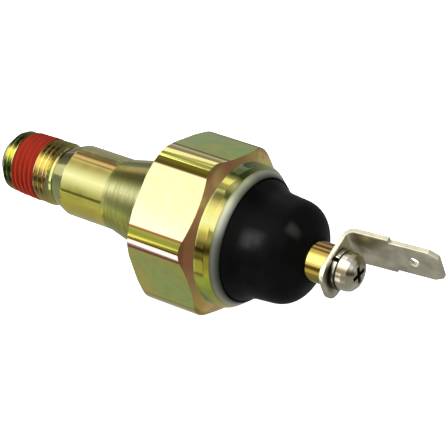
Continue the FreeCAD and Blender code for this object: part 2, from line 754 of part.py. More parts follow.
def make_washer():
    """Flat-loaded spring washer with its split."""
    body = new_body("lock_washer")
    turn(body, "Revolution", "washer_turned", [
        ("lug_front", "screw_hole_radius"),
        ("washer_top", "screw_hole_radius"),
        ("washer_top", "washer_radius"),
        ("lug_front", "washer_radius"),
    ])
    split = new_sketch(body, "washer_split_outline", "YZ_Plane")
    add_polygon(split, [
        ("-washer_gap / 2", "0"),
        ("washer_gap / 2", "0"),
        ("washer_gap / 2", "2 * washer_radius"),
        ("-washer_gap / 2", "2 * washer_radius"),
    ])
    cut_through(body, "washer_split", split)
    turn_about_axis(body, "washer_turn")
    keep(body, "lock_washer")


def make_terminal_screw():
    """Pan head screw with a cross recess."""
    body = new_body("terminal_screw")
    turn(body, "Revolution", "screw_turned", [
        ("screw_point_end", "0"),
        ("screw_point_end", "screw_radius - screw_point"),
        ("screw_point_end + screw_point", "screw_radius"),
        ("washer_top", "screw_radius"),
        ("washer_top", "screw_head_radius"),
        *arc_points("screw_top - screw_head_round", "screw_head_radius - screw_head_round",
                    "screw_head_round", (0, 30, 60, 90)),
        ("screw_top", "0"),
    ])
    cross = new_sketch(body, "recess_outline", "YZ_Plane", "screw_top")
    arm, half = "recess_arm", "recess_half"
    corners = [
        (half, arm), ("-" + half, arm), ("-" + half, half), ("-" + arm, half),
        ("-" + arm, "-" + half), ("-" + half, "-" + half), ("-" + half, "-" + arm), (half, "-" + arm),
        (half, "-" + half), (arm, "-" + half), (arm, half), (half, half),
    ]
    add_polygon(cross, corners)
    recess = body.newObject("PartDesign::Pocket", "recess")
    recess.Profile = cross
    bind(recess, "Length", "recess_depth")
    doc.recompute()
    turn_about_axis(body, "recess_turn")
    keep(body, "terminal_screw")


def check_and_export():
    """Stop on any failed feature or bad solid, then write one file for each sub-part."""
    doc.recompute()
    for item in doc.Objects:
        if {"Invalid", "Error"} & set(item.State):
            raise RuntimeError("%s did not build: %s" % (item.Name, item.State))
    for item in parts:
        shape = item.Shape
        if shape.isNull() or not shape.isValid() or not shape.Solids:
            raise RuntimeError(item.Label + " has a bad shape")
    os.makedirs("parts", exist_ok=True)
    for item in parts:
        item.Shape.exportStep("parts/%s.step" % item.Label)
        print("%-18s %d solid, %9.2f mm3" % (item.Label, len(item.Shape.Solids), item.Shape.Volume))


make_housing()
make_sealant()
make_restrictor()
ring("diaphragm_gasket", "seat", "gasket_top", "chamber_radius", "stack_radius")
make_diaphragm()
turned_piece("diaphragm_plate", [
    ("diaphragm_top", "0"),
    ("diaphragm_top", "plate_radius"),
    ("plate_top", "plate_radius"),
    ("plate_top", "0"),
])
make_pusher()
make_contact_ring()
ring("fixed_contact", "ring_top - fixed_sink", "contact_face", "fixed_inner", "fixed_outer")
make_contact_plate()
make_moving_contacts()
make_spring()
make_setting_screw()
make_insulator()
ring("insulator_seal", "seal_middle - seal_half", "seal_middle + seal_half", "seal_floor", "cavity_radius")
make_post()
make_lug()
make_washer()
make_terminal_screw()
check_and_export()
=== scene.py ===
import math
import bpy
import numpy as np
from mathutils import Matrix, Vector


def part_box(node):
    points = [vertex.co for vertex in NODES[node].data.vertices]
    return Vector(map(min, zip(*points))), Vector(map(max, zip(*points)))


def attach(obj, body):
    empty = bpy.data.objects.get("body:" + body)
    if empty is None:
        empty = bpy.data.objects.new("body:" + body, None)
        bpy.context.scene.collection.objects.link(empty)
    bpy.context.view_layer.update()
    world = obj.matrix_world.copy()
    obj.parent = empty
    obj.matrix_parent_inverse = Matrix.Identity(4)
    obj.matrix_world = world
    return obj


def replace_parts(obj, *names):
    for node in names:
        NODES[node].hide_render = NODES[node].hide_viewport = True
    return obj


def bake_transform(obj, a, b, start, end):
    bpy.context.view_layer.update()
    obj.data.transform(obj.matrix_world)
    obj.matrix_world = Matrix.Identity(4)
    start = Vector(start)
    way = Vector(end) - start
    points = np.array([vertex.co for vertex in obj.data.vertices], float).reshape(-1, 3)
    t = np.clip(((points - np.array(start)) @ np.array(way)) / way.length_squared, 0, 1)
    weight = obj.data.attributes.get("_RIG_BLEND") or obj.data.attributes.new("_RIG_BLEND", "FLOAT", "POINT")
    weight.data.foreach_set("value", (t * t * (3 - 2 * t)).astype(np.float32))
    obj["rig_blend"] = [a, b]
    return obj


# Oil pressure sender. Lengths are in millimetres until a mesh is made, and +X runs from the oil
# thread to the terminal.

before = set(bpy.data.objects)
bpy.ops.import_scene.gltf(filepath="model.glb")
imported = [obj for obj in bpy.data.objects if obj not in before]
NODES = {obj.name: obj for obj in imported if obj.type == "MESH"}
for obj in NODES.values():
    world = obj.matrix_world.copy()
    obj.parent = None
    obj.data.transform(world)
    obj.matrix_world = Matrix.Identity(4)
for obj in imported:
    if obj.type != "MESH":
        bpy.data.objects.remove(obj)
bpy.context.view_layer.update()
MM = 0.001


def span(node, axis=0):
    """Where a CAD node starts and ends along one axis, in millimetres."""
    low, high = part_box(node)
    return low[axis] / MM, high[axis] / MM


# Body: stations along the axis
TIP, LIP_TOP = span("body")
PLUG_END = 0.5
THREAD_END = 5.9
NECK_START = 6.40
NECK_END = 6.80
SHANK_START = 9.50
SHANK_END = 17.80
HEX_START = 27.75
CHAMBER_FLOOR = 28.4
SEAT = 30.0
HEX_FACE = 38.65
COLLAR_END = 40.35
LIP_INNER_BEND = 40.85
LIP_BEND = 41.05
LIP_INNER_END = 41.60

# Body: radii
TIP_RADIUS = 3.24
THREAD_RADIUS = 4.864
NECK_RADIUS = 4.55
SHANK_RADIUS = 5.6
FLARE_RADIUS = 7.95
BOTTOM, HEX_HALF = span("body", axis=2)
HEX_CORNER = 3.7
HEX_BACK_RADIUS = 12.3
COLLAR_RADIUS = 11.0
LIP_BEND_RADIUS = 10.5
LIP_RADIUS = 9.5
CAVITY_RADIUS = 9.9
CHAMBER_RADIUS = 6.8
PORT_RADIUS = 1.5
PLUG_RADIUS = 2.25

# Hexagon's end chamfer, in degrees from the face
HEX_CHAMFER = 27.0

# Oil thread. The shares are parts of half a pitch: what the crest takes, and then the flank.
THREAD_PITCH = 25.4 / 28
THREAD_DEPTH = 0.581
TAPER = 1 / 32
CREST_SHARE = 0.14
FLANK_SHARE = 0.72
FLANK_SOFTNESS = 0.35
RUN_IN = 1.3
RUN_OUT = 0.5

# Sealant on the thread, thickest at a turn about the axis in radians
SEALANT_START, SEALANT_END = span("thread_sealant")
COAT = 0.09
LUMP = 0.03
SEALANT_EDGE = 0.35
THICK_SIDE = 1.7

# Insulator
RING_TOP, NOSE_FACE = span("insulator")
BARREL_TOP = NOSE_FACE - 2.3
BARREL_BASE = BARREL_TOP - 5.9
SHOULDER_TOP = BARREL_BASE - 2.1
GRIP_START = 41.04
GRIP_END = 41.84
SEAL_START = 37.05
SEAL_END = 38.35
SEAL_FLOOR = 9.0
STACK_RADIUS = 9.8
SHOULDER_RADIUS = 9.37
BARREL_BASE_RADIUS = 8.25
BARREL_TOP_RADIUS = 7.75
SKIRT_INNER = 6.6
NOSE_RADIUS = 3.4

# Post, and the washer on the terminal's tongue
POST_TOP = span("terminal_post")[1]
POST_RADIUS = 3.1
FLANGE_START = 42.0
FLANGE_END = 43.2
FLANGE_RADIUS = 5.0
KEY_START = 48.5
KEY_END = 50.0
KEY_RADIUS = 2.6
BORE_STEP = 47.03
SETTING_BORE = 2.1
SCREW_BORE = 1.25
WASHER_FOOT, WASHER_TOP = span("lock_washer")

# Contact spring: the middle of its wire, from end to end
SPRING_PITCH = 1.375
SPRING_WIRE = 0.7
SPRING_RADIUS = 3.0
SPRING_START = span("contact_spring")[0] + SPRING_WIRE / 2
SPRING_END = span("contact_spring")[1] - SPRING_WIRE / 2


# Surfaces

def rounded(corners, radii, steps):
    """Each corner of a path becomes a parabola that starts and ends on its two sides.

    corners is (corner, column, 2) and radii one radius for each corner. With unit vectors a and b
    towards the neighbours and t the radius over the tangent of half the angle between them,
    a point of the arc is P + t(1 - u)^2 a + t u^2 b, for u from 0 to 1.
    """
    path = []
    count = len(corners)
    for index, radius in enumerate(radii):
        here = corners[index]
        if radius == 0:
            path.append(here)
            continue
        before = corners[index - 1] - here
        after = corners[(index + 1) % count] - here
        before_length = np.linalg.norm(before, axis=-1, keepdims=True)
        after_length = np.linalg.norm(after, axis=-1, keepdims=True)
        a, b = before / before_length, after / after_length
        cosine = np.clip((a * b).sum(-1, keepdims=True), -0.9999, 0.9999)
        reach = radius * np.sqrt((1 + cosine) / (1 - cosine))
        reach = np.minimum(reach, 0.48 * np.minimum(before_length, after_length))
        for u in np.linspace(0, 1, steps):
            path.append(here + reach * ((1 - u) ** 2 * a + u ** 2 * b))
    return np.array(path)


def wheel(columns):
    """Angles about the axis, measured from +Y towards +Z."""
    return np.arange(columns) * 2 * math.pi / columns


def turned(path, angles):
    """Points (x, r cos angle, r sin angle) for a path of (x, r), given once or for each angle."""
    path = np.asarray(path, float)
    if path.ndim == 2:
        path = np.repeat(path[:, None, :], len(angles), axis=1)
    x, r = path[..., 0], path[..., 1]
    return np.stack([x, r * np.cos(angles), r * np.sin(angles)], axis=-1)


def grid_mesh(name, points, sharp=30, tube=False):
    """A mesh of four-sided faces over a grid of points in millimetres, closed on itself both ways.

    A tube closes on itself round its columns alone, and a flat face closes each end.
    """
    rows, columns = points.shape[:2]
    index = np.arange(rows * columns).reshape(rows, columns)
    next_row = np.roll(index, -1, axis=0)
    next_column = np.roll(index, -1, axis=1)
    both = np.roll(next_row, -1, axis=1)
    faces = np.stack([index, next_column, both, next_row], axis=-1)
    if tube:
        faces = faces[:-1]
    faces = faces.reshape(-1, 4).tolist()
    if tube:
        faces += [index[0, ::-1].tolist(), index[-1].tolist()]
    mesh = bpy.data.meshes.new(name)
    mesh.from_pydata((points.reshape(-1, 3) * MM).tolist(), [], faces)
    mesh.validate()
    piece = bpy.data.objects.new(name, mesh)
    bpy.context.collection.objects.link(piece)
    mesh.shade_smooth()
    mesh.set_sharp_from_angle(angle=math.radians(sharp))
    return piece


def path_through(corners, columns=1, steps=4):
    """A path through corners of (x, r, rounding), where x and r may differ between columns."""
    places = [np.stack([np.full(columns, x), np.full(columns, r)], -1) for x, r, _ in corners]
    return rounded(np.array(places), [radius for _, _, radius in corners], steps)


def thread_radius(x, angles):
    """Major radius of the taper at x, less a rounded V that winds once round for each pitch.

    The wave is the distance from the crest's middle, from 0 to 1 at the root. The groove follows it
    past the crest, partly straight and partly as the smooth step 3g^2 - 2g^3, and fades at both
    ends of the thread.
    """
    x = np.asarray(x, float)[:, None]
    major = THREAD_RADIUS + x * TAPER
    phase = (x / THREAD_PITCH - angles[None, :] / (2 * math.pi)) % 1.0
    wave = np.abs(2 * phase - 1)
    groove = np.clip((wave - CREST_SHARE) / FLANK_SHARE, 0, 1)
    soft = groove * groove * (3 - 2 * groove)
    groove = FLANK_SOFTNESS * soft + (1 - FLANK_SOFTNESS) * groove
    into = np.clip((x - TIP) / RUN_IN, 0, 1)
    out = np.clip((THREAD_END + RUN_OUT / 2 - x) / RUN_OUT, 0, 1)
    return major - THREAD_DEPTH * groove * into * out


def hexagon_radius(angles):
    """Distance from the axis to a hexagon with rounded corners, its flats square to +Z.

    On a flat it is half the width over the cosine of the angle from the flat's middle. On a corner
    it is where the ray meets a circle of the corner's radius, about a point on the corner's ray.
    """
    turn = (angles + math.pi / 6) % (math.pi / 3) - math.pi / 6
    corner_middle = (HEX_HALF - HEX_CORNER) / math.cos(math.pi / 6)
    flat = HEX_HALF / np.cos(math.pi / 6 - np.abs(turn))
    sine = corner_middle * np.sin(turn) / HEX_CORNER
    arc = corner_middle * np.cos(turn) + HEX_CORNER * np.sqrt(np.clip(1 - sine ** 2, 0, 1))
    meets = math.atan2(HEX_CORNER * 0.5, corner_middle + HEX_CORNER * math.cos(math.pi / 6))
    return np.where(np.abs(turn) < meets, arc, flat)


def make_housing():
    """One closed grid of (x, r) turned about X, its r by turn on the thread and the hexagon.

    It runs up the thread, shank, hexagon, collar and lip outside and back down the cavity and the
    oil way inside. The thread starts at the tip with a chamfer of 45 degrees.
    """
    angles = wheel(columns=360)
    columns = len(angles)
    x = np.arange(TIP, THREAD_END + 0.2, THREAD_PITCH / 10)
    radius = np.minimum(thread_radius(x, angles), TIP_RADIUS + (x - TIP)[:, None])
    thread = np.stack([np.repeat(x[:, None], columns, axis=1), radius], axis=-1)

    hexagon = hexagon_radius(angles)
    back = np.minimum(hexagon, HEX_BACK_RADIUS)
    slope = math.tan(math.radians(HEX_CHAMFER))
    hair = 0.01  # keeps the rows of the back chamfer apart over the flats, where it has no width
    rest = path_through([
        (NECK_START, NECK_RADIUS, 0), (NECK_END, NECK_RADIUS, 0.3),
        (SHANK_START, SHANK_RADIUS, 0.8), (SHANK_END, SHANK_RADIUS, 3.0),
        (HEX_START, FLARE_RADIUS, 0.25), (HEX_START, back - 2 * hair, 0.1),
        (HEX_START + (hexagon - back) * slope + hair, hexagon, 0.15),
        (HEX_FACE - (hexagon - COLLAR_RADIUS) * slope, hexagon, 0.15),
        (HEX_FACE, COLLAR_RADIUS, 0.12), (COLLAR_END, COLLAR_RADIUS, 0.6),
        (LIP_BEND, LIP_BEND_RADIUS, 0.5), (LIP_TOP, LIP_RADIUS, 0.12),
        (LIP_INNER_END, LIP_RADIUS, 0), (LIP_INNER_BEND, CAVITY_RADIUS, 0),
        (SEAT, CAVITY_RADIUS, 0), (SEAT, CHAMBER_RADIUS, 0), (CHAMBER_FLOOR, CHAMBER_RADIUS, 0),
        (CHAMBER_FLOOR, PORT_RADIUS, 0), (PLUG_END, PORT_RADIUS, 0), (PLUG_END, PLUG_RADIUS, 0),
        (TIP, PLUG_RADIUS, 0),
    ], columns)
    piece = grid_mesh("body", turned(np.concatenate([thread, rest]), angles), sharp=28)
    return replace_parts(piece, "body")


def make_sealant():
    """Coat over the thread: its outside follows the turns with a part of their depth, and lumps.

    The coat runs thicker on the upper side, so the part of the depth follows the cosine of the
    turn. The lumps are a product of two sines over turn and x.
    """
    angles = wheel(columns=240)
    columns = len(angles)
    x = np.linspace(SEALANT_START, SEALANT_END, 72)
    bare = thread_radius(x, angles)
    major = THREAD_RADIUS + x[:, None] * TAPER
    turn = angles[None, :]
    lumps = LUMP * np.sin(5 * turn + 2.1 * x[:, None]) * np.sin(3 * turn - 4.3 * x[:, None])
    cover = 0.45 + 0.45 * np.cos(turn - THICK_SIDE)
    fill = (1 - cover) * bare + cover * major
    edge = np.clip((x - x[0]) / SEALANT_EDGE, 0, 1) * np.clip((x[-1] - x) / SEALANT_EDGE, 0, 1)
    outside = fill + (COAT + lumps) * np.sqrt(edge)[:, None]
    inside = bare - 0.02  # a hair inside the steel
    outer = np.stack([np.repeat(x[:, None], columns, 1), outside], -1)
    inner = np.stack([np.repeat(x[::-1, None], columns, 1), inside[::-1]], -1)
    skin = turned(np.concatenate([outer, inner]), angles)
    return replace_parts(grid_mesh("thread_sealant", skin, sharp=50), "thread_sealant")


def make_insulator():
    """Turned moulding, (x, r) turned about X, with a hollow foot, a soft nose and a seal groove."""
    path = path_through([
        (RING_TOP, SKIRT_INNER, 0), (FLANGE_START, SKIRT_INNER, 0),
        (FLANGE_START, FLANGE_RADIUS, 0), (FLANGE_END, FLANGE_RADIUS, 0),
        (FLANGE_END, POST_RADIUS, 0), (KEY_START, POST_RADIUS, 0), (KEY_START, KEY_RADIUS, 0),
        (KEY_END, KEY_RADIUS, 0), (KEY_END, POST_RADIUS, 0), (NOSE_FACE, POST_RADIUS, 0),
        (NOSE_FACE, NOSE_RADIUS, 0.15), (BARREL_TOP, BARREL_TOP_RADIUS, 4.0),
        (BARREL_BASE, BARREL_BASE_RADIUS, 5.0), (SHOULDER_TOP, SHOULDER_RADIUS, 0.5),
        (GRIP_END, SHOULDER_RADIUS, 0), (GRIP_START, STACK_RADIUS, 0),
        (SEAL_END, STACK_RADIUS, 0), (SEAL_END, SEAL_FLOOR, 0), (SEAL_START, SEAL_FLOOR, 0),
        (SEAL_START, STACK_RADIUS, 0), (RING_TOP, STACK_RADIUS, 0),
    ], steps=14)
    piece = grid_mesh("insulator", turned(path[::-1, 0], wheel(columns=240)))
    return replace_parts(piece, "insulator")


def make_post():
    """Post, (x, r) turned about X, with its flange, its keying groove and both tapped holes."""
    path = path_through([
        (FLANGE_START, SETTING_BORE, 0), (FLANGE_START, FLANGE_RADIUS, 0),
        (FLANGE_END, FLANGE_RADIUS, 0), (FLANGE_END, POST_RADIUS, 0), (KEY_START, POST_RADIUS, 0),
        (KEY_START, KEY_RADIUS, 0), (KEY_END, KEY_RADIUS, 0), (KEY_END, POST_RADIUS, 0),
        (POST_TOP, POST_RADIUS, 0.15), (POST_TOP, SCREW_BORE, 0.1), (BORE_STEP, SCREW_BORE, 0),
        (BORE_STEP, SETTING_BORE, 0),
    ])
    piece = grid_mesh("terminal_post", turned(path[:, 0], wheel(columns=160)))
    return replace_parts(piece, "terminal_post")


def make_spring():
    """Round wire along a helix, whose lower end follows the moving plate and whose top stays.

    With a the angle from +Z towards +Y, the wire's middle is (x, R sin a, R cos a), and its skin
    lies half a wire away along N cos c + B sin c, for N straight out from the axis and B square to
    N and to the helix.
    """
    turns = (SPRING_END - SPRING_START) / SPRING_PITCH
    angle = np.linspace(0, turns * 2 * math.pi, 140)
    x = SPRING_START + (SPRING_END - SPRING_START) * angle / angle[-1]
    outward = np.stack([np.zeros_like(angle), np.sin(angle), np.cos(angle)], -1)
    heading = np.stack([np.full_like(angle, SPRING_PITCH / (2 * math.pi)),
                        SPRING_RADIUS * np.cos(angle), -SPRING_RADIUS * np.sin(angle)], -1)
    heading /= np.linalg.norm(heading, axis=-1, keepdims=True)
    beside = np.cross(heading, outward)
    middle = np.stack([x, SPRING_RADIUS * outward[:, 1], SPRING_RADIUS * outward[:, 2]], -1)
    about = wheel(columns=16)[None, :, None]
    skin = outward[:, None] * np.cos(about) + beside[:, None] * np.sin(about)
    piece = grid_mesh("contact_spring", middle[:, None] + SPRING_WIRE / 2 * skin, tube=True)
    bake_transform(piece, "plunger", "housing",
             start=(SPRING_START * MM, 0, 0), end=(SPRING_END * MM, 0, 0))
    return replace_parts(piece, "contact_spring")


def soften(node, width):
    """Fine rounded edges on a CAD node: split corners are joined and sharp edges are bevelled."""
    piece = NODES[node]
    weld = piece.modifiers.new("join", "WELD")
    weld.merge_threshold = 1e-6
    flat = piece.modifiers.new("whole_faces", "DECIMATE")
    flat.decimate_type = "DISSOLVE"
    flat.angle_limit = math.radians(0.5)
    bevel = piece.modifiers.new("edges", "BEVEL")
    bevel.width = width * MM
    bevel.segments = 2
    bevel.limit_method = "ANGLE"
    bevel.angle_limit = math.radians(32)
    bevel.harden_normals = True


# Materials

def material(name):
    """A new node material and its surface shader."""
    made = bpy.data.materials.new(name)
    made.use_nodes = True
    shader = made.node_tree.nodes["Principled BSDF"]
    return made, shader


def node(tree, kind, **inputs):
    """A node with its inputs set by name, spaces written as underscores."""
    made = tree.nodes.new(kind)
    for key, value in inputs.items():
        made.inputs[key.replace("_", " ")].default_value = value
    return made


def maths(tree, operation, first, second=None):
    """One operation on sockets or plain numbers."""
    made = tree.nodes.new("ShaderNodeMath")
    made.operation = operation
    for slot, value in enumerate((first, second)):
        if isinstance(value, (int, float)):
            made.inputs[slot].default_value = value
        elif value is not None:
            tree.links.new(value, made.inputs[slot])
    return made.outputs[0]


def ramp(tree, factor, stops):
    """A colour ramp over a factor, with stops of (place, colour)."""
    made = tree.nodes.new("ShaderNodeValToRGB")
    elements = made.color_ramp.elements
    while len(elements) > 1:
        elements.remove(elements[-1])
    elements[0].position = stops[0][0]
    elements[0].color = (*stops[0][1], 1)
    for place, colour in stops[1:]:
        elements.new(place).color = (*colour, 1)
    tree.links.new(factor, made.inputs["Fac"])
    return made.outputs["Color"]


def blend_colours(tree, factor, first, second, kind="MIX"):
    """Two colours, sockets or plain, mixed by a factor."""
    made = tree.nodes.new("ShaderNodeMix")
    made.data_type = "RGBA"
    made.blend_type = kind
    for slot, value in ((0, factor), (6, first), (7, second)):
        if isinstance(value, tuple):
            made.inputs[slot].default_value = (*value, 1)
        elif isinstance(value, (int, float)):
            made.inputs[slot].default_value = value
        else:
            tree.links.new(value, made.inputs[slot])
    return made.outputs[2]


def step_up(tree, value, start, end):
    """A mask that rises from 0 to 1 while the value goes from start to end, upwards or down."""
    made = tree.nodes.new("ShaderNodeMapRange")
    made.interpolation_type = "SMOOTHSTEP"
    tree.links.new(value, made.inputs["Value"])
    made.inputs["From Min"].default_value = start
    made.inputs["From Max"].default_value = end
    return made.outputs["Result"]


def make_axis_group():
    """Shared places about the part's axis.

    Along and Out are in mm, and Turn goes from 0 to 1, from +Y towards +Z.
    """
    group = bpy.data.node_groups.new("about_the_axis", "ShaderNodeTree")
    for name in ("Along", "Out", "Turn"):
        group.interface.new_socket(name, in_out="OUTPUT", socket_type="NodeSocketFloat")
    place = group.nodes.new("ShaderNodeTexCoord")
    split = group.nodes.new("ShaderNodeSeparateXYZ")
    group.links.new(place.outputs["Object"], split.inputs[0])
    x, y, z = split.outputs
    squares = maths(group, "ADD", maths(group, "MULTIPLY", y, y), maths(group, "MULTIPLY", z, z))
    turn = maths(group, "DIVIDE", maths(group, "ARCTAN2", z, y), 2 * math.pi)
    out = group.nodes.new("NodeGroupOutput")
    group.links.new(maths(group, "MULTIPLY", x, 1 / MM), out.inputs["Along"])
    radius = maths(group, "SQRT", squares)
    group.links.new(maths(group, "MULTIPLY", radius, 1 / MM), out.inputs["Out"])
    group.links.new(maths(group, "FRACT", maths(group, "ADD", turn, 1.0)), out.inputs["Turn"])
    return group


AXIS = make_axis_group()


def about_axis(tree):
    """The shared places about the axis, for one material."""
    made = tree.nodes.new("ShaderNodeGroup")
    made.node_tree = AXIS
    return made.outputs["Along"], made.outputs["Out"], made.outputs["Turn"]


def noise(tree, scale, detail=3.0, stretch=(1, 1, 1)):
    """Noise over the object's own coordinates, stretched along its axes."""
    place = tree.nodes.new("ShaderNodeTexCoord")
    fit = tree.nodes.new("ShaderNodeMapping")
    fit.inputs["Scale"].default_value = stretch
    tree.links.new(place.outputs["Object"], fit.inputs["Vector"])
    made = node(tree, "ShaderNodeTexNoise", Scale=scale, Detail=detail)
    tree.links.new(fit.outputs["Vector"], made.inputs["Vector"])
    return made.outputs["Fac"]


def add_bump(tree, shader, height, strength, rise):
    """A fine relief on the shader's normal, its rise in mm."""
    made = node(tree, "ShaderNodeBump", Strength=strength, Distance=rise * MM)
    tree.links.new(height, made.inputs["Height"])
    tree.links.new(made.outputs["Normal"], shader.inputs["Normal"])


# Noise scale of the fine grain that most metals have
FINE_GRAIN = 900


def simple(name, colour, metallic, roughness, spread=0.06):
    """One colour with a fine procedural variation in its brightness."""
    made, shader = material(name)
    tree = made.node_tree
    grain = noise(tree, FINE_GRAIN, 4.0)
    darker = tuple(c * (1 - spread) for c in colour)
    lighter = tuple(min(1, c * (1 + spread)) for c in colour)
    tint = ramp(tree, grain, [(0.3, darker), (0.7, lighter)])
    tree.links.new(tint, shader.inputs["Base Color"])
    shader.inputs["Metallic"].default_value = metallic
    shader.inputs["Roughness"].default_value = roughness
    return made


def partly(tree, mask, share):
    """A share of a mask."""
    return maths(tree, "MULTIPLY", mask, share)


def make_banded(name, roughness, bands, seam, middle=None):
    """A turned metal with painted highlights and shade in bands round its axis, and painted seam shade at
    its foot.

    A screw's head also has a plain middle.
    """
    made, shader = material(name)
    tree = made.node_tree
    along, out, turn = about_axis(tree)
    # Painted highlights and shade: colour bands by turn about the axis.
    colour = ramp(tree, turn, bands)
    grain = noise(tree, FINE_GRAIN, 4.0)
    colour = blend_colours(tree, partly(tree, grain, 0.2), colour, (0.30, 0.24, 0.14))
    if middle is not None:
        colour = blend_colours(tree, step_up(tree, out, 1.7, 0.9), colour, middle)
    if seam is not None:
        # Painted shade: a dark line just over the seam where this part meets the next one.
        line = step_up(tree, along, seam + 0.20, seam + 0.10)
        colour = blend_colours(tree, line, colour, (0.03, 0.03, 0.02))
    tree.links.new(colour, shader.inputs["Base Color"])
    shader.inputs["Metallic"].default_value = 1.0
    shader.inputs["Roughness"].default_value = roughness
    return made


def make_tinned_sheet():
    """Dull tinned sheet, with a painted shadow on its tongue below the washer."""
    made, shader = material("tinned_sheet")
    tree = made.node_tree
    along, out, turn = about_axis(tree)
    grain = noise(tree, 420, 5.0)
    colour = ramp(tree, grain, [(0.35, (0.50, 0.47, 0.34)), (0.65, (0.74, 0.70, 0.53))])
    # Painted shadow of the washer: a dark patch near the washer on the tongue's lower side.
    near = step_up(tree, out, 4.1, 3.3)
    below = maths(tree, "MULTIPLY",
                  step_up(tree, turn, 0.39, 0.46), step_up(tree, turn, 0.74, 0.64))
    painted_shadow = partly(tree, maths(tree, "MULTIPLY", near, below), 0.85)
    on_face = step_up(tree, along, POST_TOP + 0.6, POST_TOP + 0.75)
    painted_shadow = maths(tree, "MULTIPLY", painted_shadow, on_face)
    colour = blend_colours(tree, painted_shadow, colour, (0.07, 0.08, 0.05))
    tree.links.new(colour, shader.inputs["Base Color"])
    shader.inputs["Metallic"].default_value = 1.0
    shader.inputs["Roughness"].default_value = 0.34
    add_bump(tree, shader, grain, 0.4, 0.02)
    return made


# Colours of the yellow chromate film
OLIVE = (0.62, 0.64, 0.14)
GOLD = (0.80, 0.64, 0.15)
SAGE = (0.46, 0.66, 0.22)
ROSE = (0.80, 0.48, 0.18)
CREAM = (0.42, 0.41, 0.235)

# How far a rounded corner of the hexagon reaches round the axis, in degrees
CORNER_SPREAD = 16.8


def make_corner_group():
    """Masks and places for the hexagon's rounded corners, from the turn about the axis.

    Across goes from 0 to 1 over a corner, Mask is 1 on it, and Odd is 1 on every second corner.
    """
    group = bpy.data.node_groups.new("hexagon_corners", "ShaderNodeTree")
    group.interface.new_socket("Turn", in_out="INPUT", socket_type="NodeSocketFloat")
    for name in ("Across", "Mask", "Odd"):
        group.interface.new_socket(name, in_out="OUTPUT", socket_type="NodeSocketFloat")
    turn = group.nodes.new("NodeGroupInput").outputs["Turn"]
    sixths = maths(group, "ADD", maths(group, "MULTIPLY", turn, 6), 0.5)
    off = maths(group, "SUBTRACT", maths(group, "FRACT", sixths), 0.5)
    degrees = maths(group, "MULTIPLY", off, 60)
    out = group.nodes.new("NodeGroupOutput")
    across = maths(group, "ADD", maths(group, "DIVIDE", degrees, CORNER_SPREAD), 0.5)
    group.links.new(across, out.inputs["Across"])
    inside = maths(group, "LESS_THAN", maths(group, "ABSOLUTE", degrees), CORNER_SPREAD / 2)
    group.links.new(inside, out.inputs["Mask"])
    group.links.new(maths(group, "MODULO", maths(group, "FLOOR", sixths), 2), out.inputs["Odd"])
    return group


CORNERS = make_corner_group()


def brush_lines(tree):
    """Lines round the cone: noise drawn out across the axis."""
    return noise(tree, 260, 4.0, (14, 1, 1))


